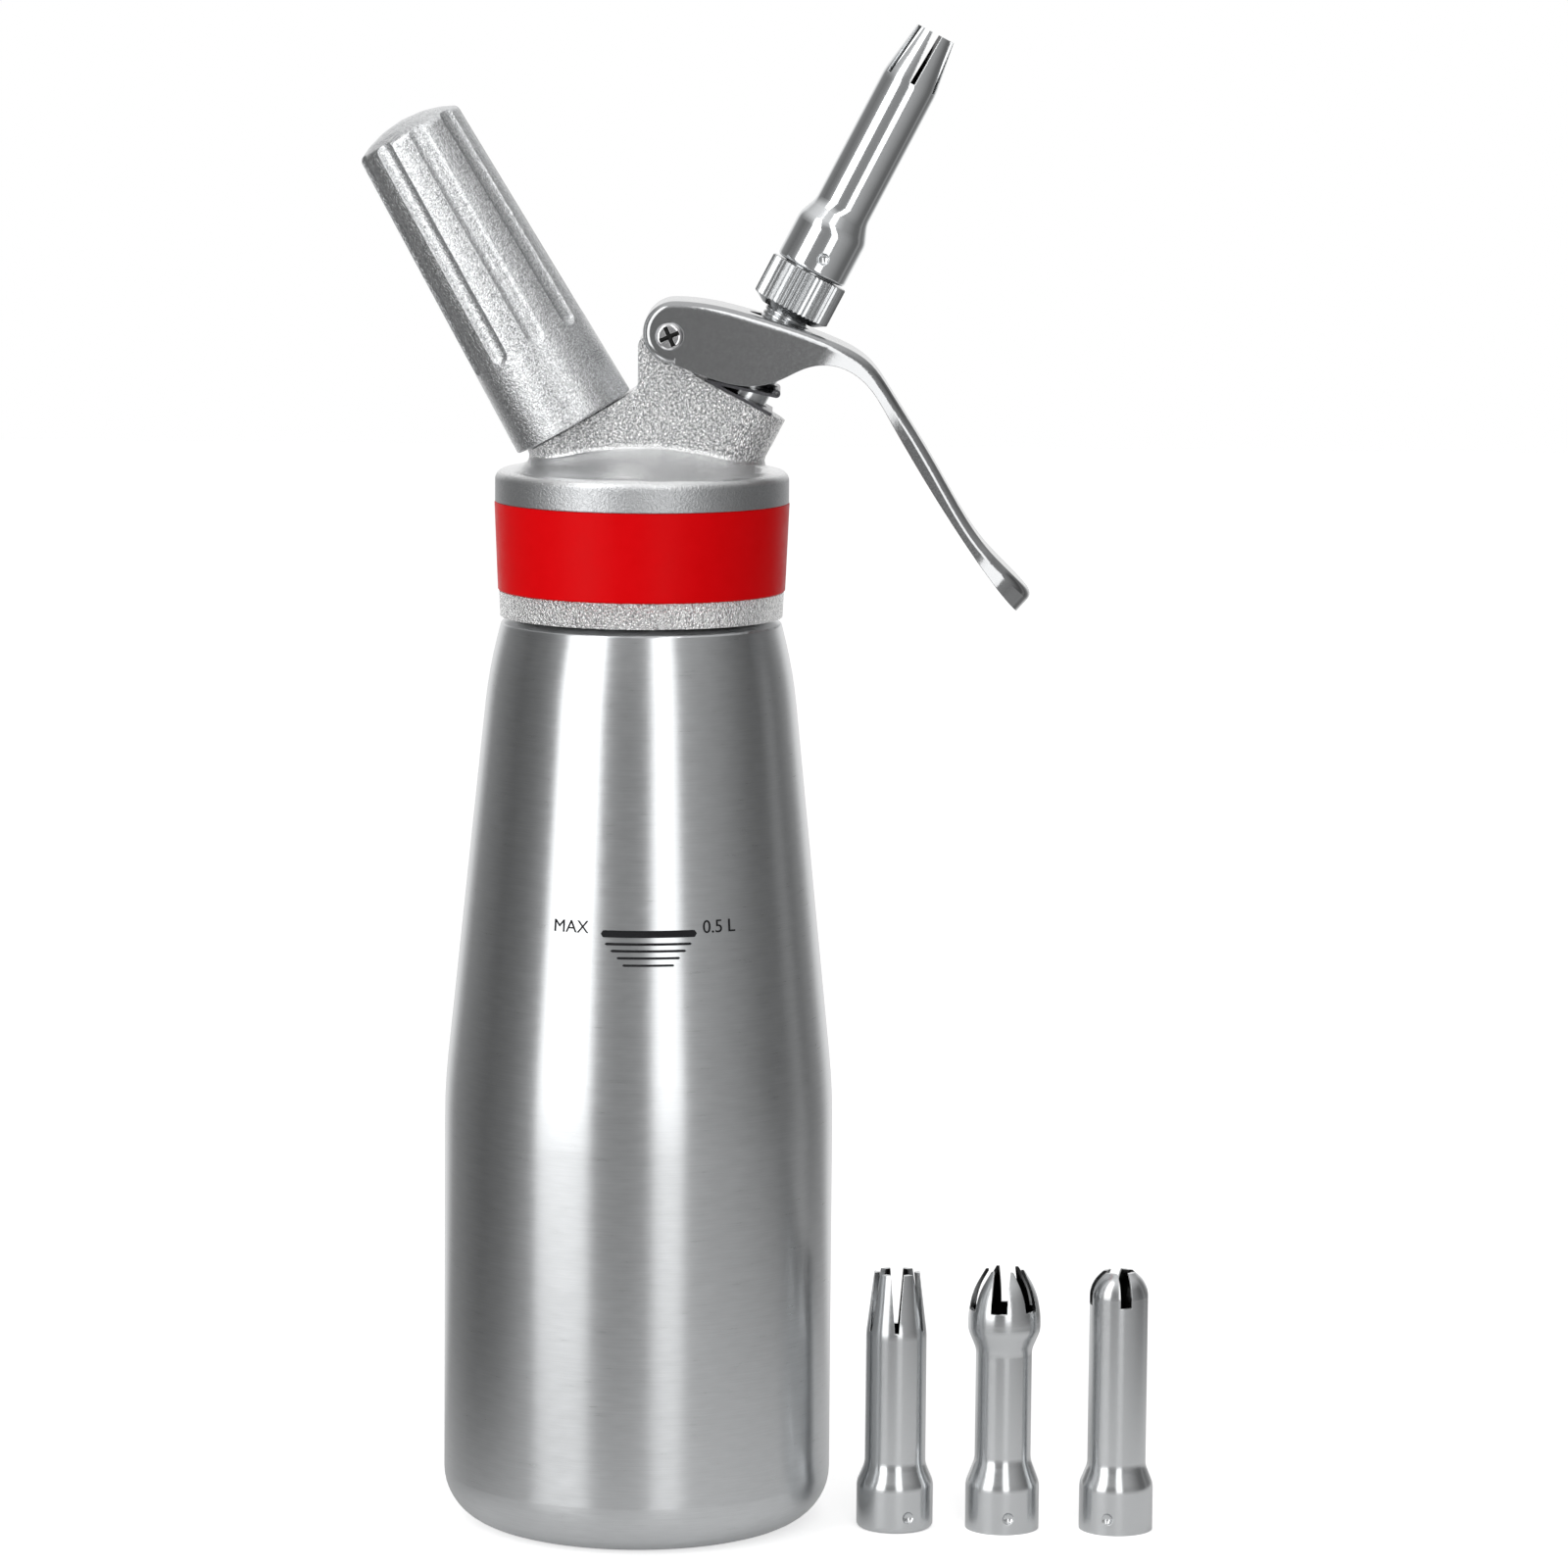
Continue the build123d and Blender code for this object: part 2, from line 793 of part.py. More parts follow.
with BuildPart() as nozzle_adapter:
    with BuildSketch(across(valve_plane, adapter_start)):
        with BuildLine():
            knurl = [
                (
                    (adapter_radius - knurl_depth * (half_tooth % 2)) * cos(half_tooth * pi / knurl_count),
                    (adapter_radius - knurl_depth * (half_tooth % 2)) * sin(half_tooth * pi / knurl_count),
                )
                for half_tooth in range(2 * knurl_count)
            ]
            Polyline(*knurl, close=True)
        make_face()
    extrude(amount=adapter_height)
    # turned edges of the knurled ring
    revolve(
        profile(
            valve_plane,
            (0, adapter_start),
            (adapter_radius - 2.4, adapter_start),
            (adapter_radius, adapter_start + 1.5),
            (adapter_radius, adapter_top - 0.25),
            (adapter_radius - 0.25, adapter_top),
            (0, adapter_top),
        ),
        axis=axis_of(valve_plane),
        mode=Mode.INTERSECT,
    )
    extrude(disc(across(valve_plane, adapter_top - 1), adapter_neck_radius), amount=1 + adapter_neck_length)
    for count in range(adapter_thread_starts):
        low = bump_height - adapter_thread_step / 2 - adapter_thread_start
        add(
            thread_ridge(
                valve_plane,
                adapter_thread_start,
                adapter_thread_lead,
                (adapter_neck_length - 1.4) / adapter_thread_lead,
                adapter_neck_radius,
                adapter_neck_radius + adapter_thread_depth,
                adapter_thread_width,
                turn=bump_turn - low * 360 / adapter_thread_lead + count * 360 / adapter_thread_starts,
            )
        )
    extrude(disc(across(valve_plane, adapter_start - 1), adapter_bore), amount=60, mode=Mode.SUBTRACT)
finish(nozzle_adapter, "nozzle_adapter")

with BuildPart() as nozzle_washer:
    washer_bottom = adapter_top + adapter_neck_length + seal_gap
    washer_top = washer_bottom + washer_thickness
    washer_outer = socket_bore - 0.2
    revolve(
        profile(
            valve_plane,
            (stem_bore + 1.0, washer_bottom),
            (washer_outer, washer_bottom),
            (washer_outer, washer_top),
            (stem_bore + 1.0, washer_top),
        ),
        axis=axis_of(valve_plane),
    )
finish(nozzle_washer, "nozzle_washer")


# ---------------------------------------------------------------- nozzles
def nozzle_body(plane, start, outer, outer_rounds, inner, inner_rounds):
    """Turned nozzle shell between an outer and an inner outline, both from the socket to the tip."""
    raised = [(radius, start + height) for radius, height in outer]
    lowered = [(radius, start + height) for radius, height in inner]
    with BuildSketch(plane) as face:
        with BuildLine():
            FilletPolyline(*raised, radius=outer_rounds)
            FilletPolyline(*lowered, radius=inner_rounds)
            Line(raised[0], lowered[0])
            Line(raised[-1], lowered[-1])
        make_face()
    return face.sketch


def cut_slots(plane, bottom, top, low_width, high_width, count, first):
    """Cut the slots between a nozzle's petals, the first one turned from the front by degrees."""
    prism = extrude(
        profile(
            plane,
            (-low_width / 2, bottom),
            (low_width / 2, bottom),
            (high_width / 2, top),
            (-high_width / 2, top),
        ),
        amount=2 * socket_bore,
        mode=Mode.PRIVATE,
    )
    for slot in range(count):
        add(prism.rotate(axis_of(plane), first + slot * 360 / count), mode=Mode.SUBTRACT)


def press_dimples(plane, start, outer_radius, first):
    """Press three dimples into a socket: a dent outside and a bump inside that runs in the thread."""
    for count in range(adapter_thread_starts):
        turn = first + count * 360 / adapter_thread_starts
        dent_height = start + dimple_height
        center = plane.origin + plane.y_dir * dent_height
        dent = Pos(*(center + plane.z_dir * (outer_radius + dimple_radius - 0.75))) * Sphere(
            dimple_radius, mode=Mode.PRIVATE
        )
        bump = extrude(
            disc(
                Plane(
                    origin=center + plane.z_dir * (socket_bore - dimple_reach),
                    x_dir=plane.x_dir,
                    z_dir=plane.z_dir,
                ),
                dimple_radius / 2,
            ),
            amount=dimple_reach + 0.15,
            mode=Mode.PRIVATE,
        )
        add(bump.rotate(axis_of(plane), turn))
        add(dent.rotate(axis_of(plane), turn), mode=Mode.SUBTRACT)


tube_foot = socket_height + ogee_height


def petal_nozzle(plane, start, socket_radius, tube_radius, wall, taper_height, tip_radius, length):
    """Sketch of a nozzle with a straight tube and a tapered tip."""
    tube_bore = tube_radius - wall
    return nozzle_body(
        plane,
        start,
        [
            (socket_bore + 0.1, 0),
            (socket_radius, 0),
            (socket_radius, socket_height),
            (tube_radius, tube_foot),
            (tube_radius, taper_height),
            (tip_radius, length),
        ],
        ((socket_radius - socket_bore) * 0.85, 4.5, 4.5, tip_blend),
        [
            (socket_bore, 0),
            (socket_bore, socket_height),
            (tube_bore, tube_foot),
            (tube_bore, taper_height),
            (tip_radius - wall, length),
        ],
        (3.6, 5.4, bore_blend),
    )


with BuildPart() as fitted_nozzle:
    revolve(
        petal_nozzle(
            valve_plane,
            nozzle_start,
            fitted_socket_radius,
            fitted_tube_radius,
            nozzle_wall,
            fitted_taper,
            fitted_tip_radius,
            fitted_length,
        ),
        axis=axis_of(valve_plane),
    )
    cut_slots(
        valve_plane,
        nozzle_start + fitted_taper,
        nozzle_start + fitted_length + 1,
        fitted_slot_low_width,
        fitted_slot_high_width,
        6,
        fitted_slot_turn,
    )
    press_dimples(valve_plane, nozzle_start, fitted_socket_radius, fitted_dimple_turn)
finish(fitted_nozzle, "fitted_nozzle")

star_plane = turning_plane(bottle_radius + spare_row_gap, 0, 0)
tulip_plane = turning_plane(bottle_radius + spare_row_gap + tulip_spacing, 0, 0)
round_plane = turning_plane(bottle_radius + spare_row_gap + tulip_spacing + round_spacing, 0, 0)
for spare_plane in (star_plane, tulip_plane, round_plane):
    spare_plane.origin = spare_plane.origin + Vector(0, spare_row_y, 0)


with BuildPart() as spare_nozzle_star:
    revolve(
        petal_nozzle(
            star_plane,
            0,
            star_socket_radius,
            star_tube_radius,
            star_wall,
            star_taper,
            star_tip_radius,
            star_length,
        ),
        axis=axis_of(star_plane),
    )
    slot_foot = star_taper + star_slot_rise
    cut_slots(star_plane, slot_foot, star_length + 1, star_slot_low_width, star_slot_high_width, 6, 0.0)
    press_dimples(star_plane, 0, star_socket_radius, 20.0)
finish(spare_nozzle_star, "spare_nozzle_star")


with BuildPart() as spare_nozzle_tulip:
    revolve(
        nozzle_body(
            tulip_plane,
            0,
            [
                (tulip_socket_radius, 0),
                (tulip_socket_radius, socket_height),
                (tulip_neck_radius, tube_foot + 1.0),
                (tulip_neck_radius, tulip_neck_end),
                (tulip_bulb_radius, tulip_bulb_start),
                (tulip_bulb_radius, tulip_bulb_end),
                (tulip_petal_radius, tulip_petal_bend),
                (tulip_tip_radius, tulip_length),
            ],
            (5.0, 5.0, 4.5, 4.5, 16.0, 14.0),
            [
                (socket_bore, 0),
                (socket_bore, socket_height),
                (tulip_neck_radius - nozzle_wall, tube_foot + 1.0),
                (tulip_neck_radius - nozzle_wall, tulip_neck_end),
                (tulip_bulb_radius - nozzle_wall, tulip_bulb_start),
                (tulip_bulb_radius - nozzle_wall, tulip_bulb_end),
                (tulip_petal_radius - nozzle_wall, tulip_petal_bend),
                (tulip_tip_radius - nozzle_wall, tulip_length),
            ],
            (4.0, 5.0, 5.0, 4.0, 15.0, 13.0),
        ),
        axis=axis_of(tulip_plane),
    )
    cut_slots(tulip_plane, tulip_slot_bottom, tulip_length + 1, tulip_slot_width, tulip_slot_width, 6, -11.0)
    press_dimples(tulip_plane, 0, tulip_socket_radius, 8.0)
finish(spare_nozzle_tulip, "spare_nozzle_tulip")


with BuildPart() as spare_nozzle_round:
    revolve(
        nozzle_body(
            round_plane,
            0,
            [
                (round_socket_radius, 0),
                (round_socket_radius, socket_height),
                (round_tube_radius, tube_foot),
                (round_tube_radius, round_petal_bend),
                (round_tip_radius, round_length),
            ],
            (4.5, 4.5, round_dome),
            [
                (socket_bore, 0),
                (socket_bore, socket_height),
                (round_tube_radius - nozzle_wall, tube_foot),
                (round_tube_radius - nozzle_wall, round_petal_bend),
                (round_tip_radius - nozzle_wall, round_length),
            ],
            (3.6, 5.4, round_dome - nozzle_wall),
        ),
        axis=axis_of(round_plane),
    )
    cut_slots(round_plane, round_slot_bottom, round_length + 1, round_slot_width, round_slot_width, 4, 12.0)
    press_dimples(round_plane, 0, round_socket_radius, -16.0)
finish(spare_nozzle_round, "spare_nozzle_round")

# ---------------------------------------------------------------- lever
pivot = Vector(pivot_x, 0, pivot_height)
lever_side = Plane(origin=pivot, x_dir=(1, 0, 0), z_dir=(0, -1, 0))
droop = radians(lever_droop)
lever_flat = Plane(origin=pivot, x_dir=(cos(droop), 0, -sin(droop)), z_dir=(sin(droop), 0, cos(droop)))

# side view of the lever, from the pivot: the rear end is an arc, the handle curves down.
# Points of the handle are shares of the lever's length
rear_center = (1.05, 0.65)
rear_radius = 6.65
handle_top = [
    (0.3765, -0.0139),
    (0.446, -0.0545),
    (0.4973, -0.1219),
    (0.6011, -0.2888),
    (0.7112, -0.4642),
    (0.8246, -0.5807),
]
handle_low = [(0.7904, -0.6235), (0.6802, -0.4813), (0.4898, -0.1775), (0.4353, -0.0995), (0.37, -0.0642)]
top_line = [
    (rear_center[0], rear_center[1] + rear_radius),
    (18.7, 4.2),
    *((x * lever_length, z * lever_length) for x, z in handle_top),
]
low_line = [
    *((x * lever_length, z * lever_length) for x, z in handle_low),
    (28.8, -6.4),
    (22.2, -9.4),
    (16.7, -10.3),
    (8.8, -8.8),
    (rear_center[0], rear_center[1] - rear_radius),
]
handle_end_direction = (0.68, -0.73)
beyond_end = 4.0
below = -0.9 * lever_length
far = 2 * lever_length


def lever_width(inset):
    """Outline of the lever seen square to its handle, moved inwards by inset."""
    rear = -2 * rear_radius
    shoulder = 0.3 * lever_length
    neck = 0.5 * lever_length
    paddle = 0.86 * lever_length
    end = lever_length - inset
    side = lever_half_width - inset
    neck_side = lever_neck_half_width - inset
    paddle_side = lever_paddle_half_width - inset
    points = [
        (rear, -side),
        (shoulder, -side),
        (neck, -neck_side),
        (paddle, -paddle_side),
        (end, 1.0 - paddle_side),
        (end, paddle_side - 1.0),
        (paddle, paddle_side),
        (neck, neck_side),
        (shoulder, side),
        (rear, side),
    ]
    with BuildSketch(lever_flat) as face:
        with BuildLine():
            corner = lever_end_round - inset
            FilletPolyline(*points, radius=(30, 50, 20, corner, corner, 20, 50, 30))
            Line(points[-1], points[0])
        make_face()
    return face.sketch


top_edge = Spline(*top_line, tangents=((1, 0), handle_end_direction))
inner_samples = 14
inner_top_line = []
for sample in range(inner_samples + 1):
    tangent = top_edge % (sample / inner_samples)
    inner_top_line.append((top_edge @ (sample / inner_samples)) + Vector(tangent.Y, -tangent.X) * lever_sheet)

# the space inside the pressed sheet, open below and at the lower half of the rear end
with BuildSketch(lever_side) as hollow_side:
    with BuildLine():
        inner_top = Spline(*inner_top_line, tangents=((1, 0), handle_end_direction))
        inner_radius = rear_radius - lever_sheet
        rear_point = (rear_center[0] - inner_radius, rear_center[1])
        inner_middle = (
            rear_center[0] - inner_radius * cos(pi / 4),
            rear_center[1] + inner_radius * sin(pi / 4),
        )
        ThreePointArc(rear_point, inner_middle, inner_top @ 0)
        past_end = (inner_top @ 1) + Vector(*handle_end_direction) * 3 * beyond_end
        Polyline(
            inner_top @ 1,
            past_end,
            (past_end.X, below),
            (-2 * rear_radius, below),
            (-2 * rear_radius, rear_center[1]),
            rear_point,
        )
    make_face()
hollow = extrude(hollow_side.sketch, amount=slab_width, both=True, mode=Mode.PRIVATE)
hollow = hollow & extrude(lever_width(lever_sheet), amount=far, both=True, mode=Mode.PRIVATE)

with BuildPart() as lever:
    with BuildSketch(Plane(origin=pivot + Vector(0, lever_half_width, 0), x_dir=(1, 0, 0), z_dir=(0, -1, 0))):
        with BuildLine():
            add(top_edge)
            top_end = Line(top_edge @ 1, (top_edge @ 1) + Vector(*handle_end_direction) * beyond_end)
            low = Spline(*low_line)
            low_end = Line(low @ 0, (low @ 0) - (low % 0) * beyond_end)
            Line(top_end @ 1, low_end @ 1)
            ThreePointArc(low @ 1, (rear_center[0] - rear_radius, rear_center[1]), top_edge @ 0)
        make_face()
    extrude(amount=2 * lever_half_width)
    extrude(lever_width(0), amount=far, both=True, mode=Mode.INTERSECT)
    # all edges of the rear arc: the rounding runs on along the top on both sides
    rear_face = lever.faces().filter_by(GeomType.CYLINDER).sort_by(Axis.X)[0]
    fillet(rear_face.edges(), lever_round)
    add(hollow, mode=Mode.SUBTRACT)
    # pivot holes and the window for the stem
    for side_way in (1, -1):
        extrude(disc(lever_side, pivot_radius + seal_gap), amount=side_way * slab_width, mode=Mode.SUBTRACT)
    with BuildSketch(across(valve_plane, collar_height_on_stem - 6, -web_window_shift)):
        RectangleRounded(web_window_length, web_window_width, web_window_width / 2 - 0.1)
    extrude(amount=web_window_depth, mode=Mode.SUBTRACT)
finish(lever, "lever")

# ---------------------------------------------------------------- pivot
# turned about the pivot axis, heights count towards the screw's head
pivot_plane = Plane(origin=pivot, x_dir=(1, 0, 0), z_dir=(0, 0, -1))
head_seat = lever_half_width + seal_gap
barrel_bore = 1.55
barrel_end = lever_half_width - 0.1
screw_shank = 1.5
screw_recess = 1.35
screw_arm_width = 0.95
screw_arm_span = 4.4
screw_turn = 24

with BuildPart() as pivot_barrel:
    revolve(
        profile(
            pivot_plane,
            (0, -head_seat - screw_head_height),
            (screw_head_radius - 0.5, -head_seat - screw_head_height),
            (screw_head_radius, -head_seat - screw_head_height + 0.5),
            (screw_head_radius, -head_seat),
            (pivot_radius, -head_seat),
            (pivot_radius, barrel_end),
            (barrel_bore, barrel_end),
            (barrel_bore, -4.0),
            (0, -4.0),
        ),
        axis=axis_of(pivot_plane),
    )
    with BuildSketch(across(pivot_plane, -head_seat - screw_head_height)):
        Rectangle(3 * screw_head_radius, 0.8)
    extrude(amount=0.9, mode=Mode.SUBTRACT)
finish(pivot_barrel, "pivot_barrel")

with BuildPart() as pivot_screw:
    with BuildSketch(pivot_plane):
        with BuildLine():
            FilletPolyline(
                (0, head_seat + screw_head_height),
                (screw_head_radius, head_seat + screw_head_height),
                (screw_head_radius, head_seat),
                (screw_shank, head_seat),
                (screw_shank, -3.0),
                (0, -3.0),
                radius=(1.1, 0, 0, 0.4),
            )
            Line((0, -3.0), (0, head_seat + screw_head_height))
        make_face()
    revolve(axis=axis_of(pivot_plane))
    # cross recess that narrows inwards
    with BuildSketch(across(pivot_plane, head_seat + screw_head_height)):
        Rectangle(screw_arm_span, screw_arm_width, rotation=screw_turn)
        Rectangle(screw_arm_width, screw_arm_span, rotation=screw_turn)
    extrude(amount=-screw_recess, taper=10, mode=Mode.SUBTRACT)
finish(pivot_screw, "pivot_screw")

# ---------------------------------------------------------------- lever spring
# folded strip on the boss face: lower leaf, bend, upper leaf with a rolled end
spring_half_width = slab_half - 0.1
spring_slope = 0.27
spring_foot = (6.7, seal_gap)
spring_bend = -8.5
spring_end = 5.5
leaf_rise = spring_slope * (spring_end - spring_bend)
fold_height = seal_gap + spring_sheet
spring_eye = 0.85

with BuildPart() as lever_spring:
    with BuildSketch(valve_plane):
        with BuildLine():
            FilletPolyline(
                spring_foot,
                (spring_bend, seal_gap),
                (spring_bend - 0.4, seal_gap + spring_sheet / 2),
                (spring_bend, fold_height),
                (spring_end, fold_height + leaf_rise),
                (spring_end + 0.16, fold_height + leaf_rise - spring_sheet),
                (spring_bend + spring_sheet / spring_slope + 0.2, fold_height),
                (spring_foot[0], fold_height),
                radius=(0, 0, 0, 0, 0, 0.1),
            )
            Line((spring_foot[0], fold_height), spring_foot)
        make_face()
        with Locations((spring_end, fold_height + leaf_rise + spring_eye - spring_sheet)):
            Circle(spring_eye)
            Circle(spring_eye - 0.45, mode=Mode.SUBTRACT)
    extrude(amount=spring_half_width, both=True)
    extrude(disc(across(valve_plane, -1), stem_radius + 0.5), amount=8, mode=Mode.SUBTRACT)
finish(lever_spring, "lever_spring")
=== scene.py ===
import json
from math import atan2, cos, pi, radians, sin

import bmesh
import bpy
from mathutils import Matrix, Vector


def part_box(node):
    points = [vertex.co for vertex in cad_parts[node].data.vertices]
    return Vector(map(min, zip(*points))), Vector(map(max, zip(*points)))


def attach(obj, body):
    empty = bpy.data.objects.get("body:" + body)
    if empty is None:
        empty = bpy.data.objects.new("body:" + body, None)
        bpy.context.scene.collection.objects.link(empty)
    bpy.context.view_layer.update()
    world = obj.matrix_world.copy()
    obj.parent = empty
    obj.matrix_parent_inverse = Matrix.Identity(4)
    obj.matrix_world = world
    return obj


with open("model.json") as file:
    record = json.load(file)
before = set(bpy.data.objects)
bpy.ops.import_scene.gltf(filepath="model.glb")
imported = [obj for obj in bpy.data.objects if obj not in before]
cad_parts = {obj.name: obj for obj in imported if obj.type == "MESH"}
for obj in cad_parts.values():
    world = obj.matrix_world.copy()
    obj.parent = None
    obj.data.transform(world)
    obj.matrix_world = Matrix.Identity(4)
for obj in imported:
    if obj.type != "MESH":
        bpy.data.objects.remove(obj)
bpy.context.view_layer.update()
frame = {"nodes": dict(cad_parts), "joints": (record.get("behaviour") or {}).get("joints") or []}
nodes = frame["nodes"]
joints = {joint["name"]: joint for joint in frame["joints"]}
MM = 0.001
WHITE = (1.0, 1.0, 1.0)


# ---------------------------------------------------------------- places
def hinge_axis(name):
    """Axis of a joint: a point on it and its lean towards +X."""
    x, y, z = joints[name]["axis"]
    return Vector(joints[name]["pos_m"]), atan2(x, z)


def standing_axis(name):
    """Axis of a turned node that stands on the floor: the middle of its foot, and no lean."""
    low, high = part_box(name)
    return Vector(((low.x + high.x) / 2.0, (low.y + high.y) / 2.0, 0.0)), 0.0


UPRIGHT = (Vector((0.0, 0.0, 0.0)), 0.0)
HOLDER = hinge_axis("holder_turn")
VALVE = hinge_axis("nozzle_turn")
# The lever's pivot, how far out its screw's head ends, and how far from the axis the head's recess reaches
PIVOT = Vector(joints["lever_press"]["pos_m"])
SCREW_END = -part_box("pivot_screw")[0].y
RECESS_REACH = 2.35 * MM
# Heights and radii of the head that its finish changes at, from part.py, and the dome's fall as a power
CROWN_TOP = 226.1 * MM
DOME_RISE = 5.4 * MM
DOME_INNER = 6.0 * MM
DOME_OUTER = 27.7 * MM
DOME_CURVE = 1.43
RING_TOP = 200.5 * MM
# The bottle's cone, from part.py, which the fill mark is printed on
CONE_START = 93.8 * MM
CONE_START_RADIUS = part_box("bottle")[1].x
CONE_SLOPE = 9.17 / 89.4


# ---------------------------------------------------------------- node helpers
class Nodes:
    """Short calls that add nodes to a tree."""

    def __init__(self, tree):
        self.tree = tree

    def node(self, kind, inputs=(), **settings):
        """Add a node, set its inputs by name or number, and return it."""
        node = self.tree.nodes.new("ShaderNode" + kind)
        for key, value in settings.items():
            setattr(node, key, value)
        for key, value in dict(inputs).items():
            if isinstance(value, bpy.types.NodeSocket):
                self.tree.links.new(value, node.inputs[key])
            else:
                node.inputs[key].default_value = value
        return node

    def math(self, operation, *values):
        """Math node of up to three values."""
        return self.node("Math", dict(enumerate(values)), operation=operation).outputs[0]

    def place(self, axis=UPRIGHT):
        """Coordinates in metres about a part's own axis, which becomes Z."""
        origin, lean = axis
        point = self.node("TexCoord").outputs["Object"]
        inputs = {"Vector": point, "Location": origin, "Rotation": (0.0, lean, 0.0)}
        return self.node("Mapping", inputs, vector_type="TEXTURE").outputs[0]

    def parts(self, vector):
        """X, Y, Z and the distance from the Z axis of a vector."""
        x, y, z = self.node("SeparateXYZ", {0: vector}).outputs
        radius = self.math("SQRT", self.math("ADD", self.math("MULTIPLY", x, x), self.math("MULTIPLY", y, y)))
        return x, y, z, radius

    def ramp(self, value, low, high, first, last):
        """Map a value from one range to another, held at the ends."""
        inputs = {"Value": value, "From Min": low, "From Max": high, "To Min": first, "To Max": last}
        return self.node("MapRange", inputs).outputs[0]

    def tint(self, value, dark, light):
        """Colour between two colours, each given by its numbers or by a socket."""
        inputs = {"Factor": value}
        for key, color in ((6, dark), (7, light)):
            inputs[key] = color if isinstance(color, bpy.types.NodeSocket) else (*color, 1.0)
        return self.node("Mix", inputs, data_type="RGBA").outputs[2]

    def studio(self, direction):
        """Colour that shiny surfaces see in a direction: STUDIO_LEVELS round about, and white above."""
        x, y, z, radius = self.parts(direction)
        turn = self.math("ARCTAN2", x, self.math("MULTIPLY", y, -1.0))
        around = self.node("ValToRGB", {0: self.ramp(turn, -pi, pi, 0.0, 1.0)})
        stops = around.color_ramp.elements
        for azimuth, _ in STUDIO_LEVELS[1:-1]:
            stops.new(azimuth / 360.0 + 0.5)
        for stop, (_, level) in zip(stops, STUDIO_LEVELS):
            stop.color = (level, level, level, 1.0)
        above = self.ramp(z, *WHITE_ABOVE, 0.0, 1.0)
        return self.tint(above, around.outputs[0], WHITE)


# Upward share of a direction that the studio turns white between
WHITE_ABOVE = (0.4, 0.95)
# Azimuth in degrees from the front, towards +X, and the brightness there: white behind, darker elsewhere
STUDIO_LEVELS = [
    (-180.0, 1.00),
    (-154.0, 0.95),
    (-138.0, 0.32),
    (-100.0, 0.14),
    (-80.0, 0.20),
    (-62.0, 0.42),
    (-30.0, 0.34),
    (-10.0, 0.30),
    (12.0, 0.33),
    (34.0, 0.46),
    (58.0, 0.34),
    (84.0, 0.17),
    (100.0, 0.15),
    (110.0, 0.33),
    (120.0, 0.18),
    (138.0, 0.34),
    (153.0, 0.92),
    (180.0, 1.00),
]


class Shader(Nodes):
    """A Principled material and the nodes that feed it."""

    def __init__(self, name, color, metallic=1.0, roughness=0.3, **sockets):
        self.material = bpy.data.materials.new(name)
        self.material.use_nodes = True
        super().__init__(self.material.node_tree)
        self.bsdf = self.tree.nodes["Principled BSDF"]
        self.set("Base Color", (*color, 1.0))
        self.set("Metallic", metallic)
        self.set("Roughness", roughness)
        for socket, value in sockets.items():
            self.set(socket.replace("_", " "), value)

    def set(self, socket, value):
        """Set a socket of the shader, or link a node's output to it."""
        target = self.bsdf.inputs[socket]
        if isinstance(value, bpy.types.NodeSocket):
            self.tree.links.new(value, target)
        else:
            target.default_value = value

    def rings(self, axis, across, along=1.5):
        """Coordinates stretched round an axis, for the marks that turning and brushing leave."""
        x, y, z, radius = self.parts(self.place(axis))
        inputs = {
            0: self.math("MULTIPLY", self.math("DIVIDE", x, radius), along),
            1: self.math("MULTIPLY", self.math("DIVIDE", y, radius), along),
            2: self.math("MULTIPLY", self.math("ADD", z, self.math("MULTIPLY", radius, 0.7)), across),
        }
        return self.node("CombineXYZ", inputs).outputs[0]

    def noise(self, vector, scale, detail=2.0, roughness=0.5, distortion=0.0):
        """Noise value of 0 to 1."""
        inputs = {"Vector": vector, "Scale": scale, "Detail": detail, "Roughness": roughness}
        return self.node("TexNoise", {**inputs, "Distortion": distortion}).outputs[0]

    def inward(self, axis):
        """1 on surfaces that face a part's own axis, such as the inside of a tube, and 0 elsewhere."""
        x, y, z, radius = self.parts(self.place(axis))
        inputs = {"Vector": self.node("TexCoord").outputs["Normal"], "Rotation": (0.0, axis[1], 0.0)}
        facing = self.node("Mapping", inputs, vector_type="TEXTURE").outputs[0]
        across, along, up, size = self.parts(facing)
        outward = self.math("ADD", self.math("MULTIPLY", x, across), self.math("MULTIPLY", y, along))
        return self.ramp(self.math("DIVIDE", outward, radius), -0.4, -0.15, 1.0, 0.0)

    def brush(self, axis, amount):
        """Stretch reflections along a part's own axis, as marks that run round it do."""
        x, y, z, radius = self.parts(self.place(axis))
        around = self.node("CombineXYZ", {0: self.math("MULTIPLY", y, -1.0), 1: x}).outputs[0]
        inputs = {"Vector": around, "Rotation": (0.0, axis[1], 0.0)}
        turned = self.node("Mapping", inputs, vector_type="VECTOR")
        settings = {"vector_type": "VECTOR", "convert_from": "OBJECT", "convert_to": "WORLD"}
        self.set("Tangent", self.node("VectorTransform", {0: turned.outputs[0]}, **settings).outputs[0])
        self.set("Anisotropic", amount)
        self.set("Anisotropic Rotation", 0.25)

    def bump(self, height, depth, strength=1.0, edge=0.0):
        """Bump of a depth in metres, over edges that are rounded by a radius."""
        inputs = {"Height": height, "Distance": depth, "Strength": strength}
        if edge:
            inputs["Normal"] = self.node("Bevel", {"Radius": edge}, samples=6).outputs[0]
        self.set("Normal", self.node("Bump", inputs).outputs[0])


def dress(name, shader):
    """Give a CAD node a material."""
    for slot in nodes[name].material_slots:
        slot.material = shader.material


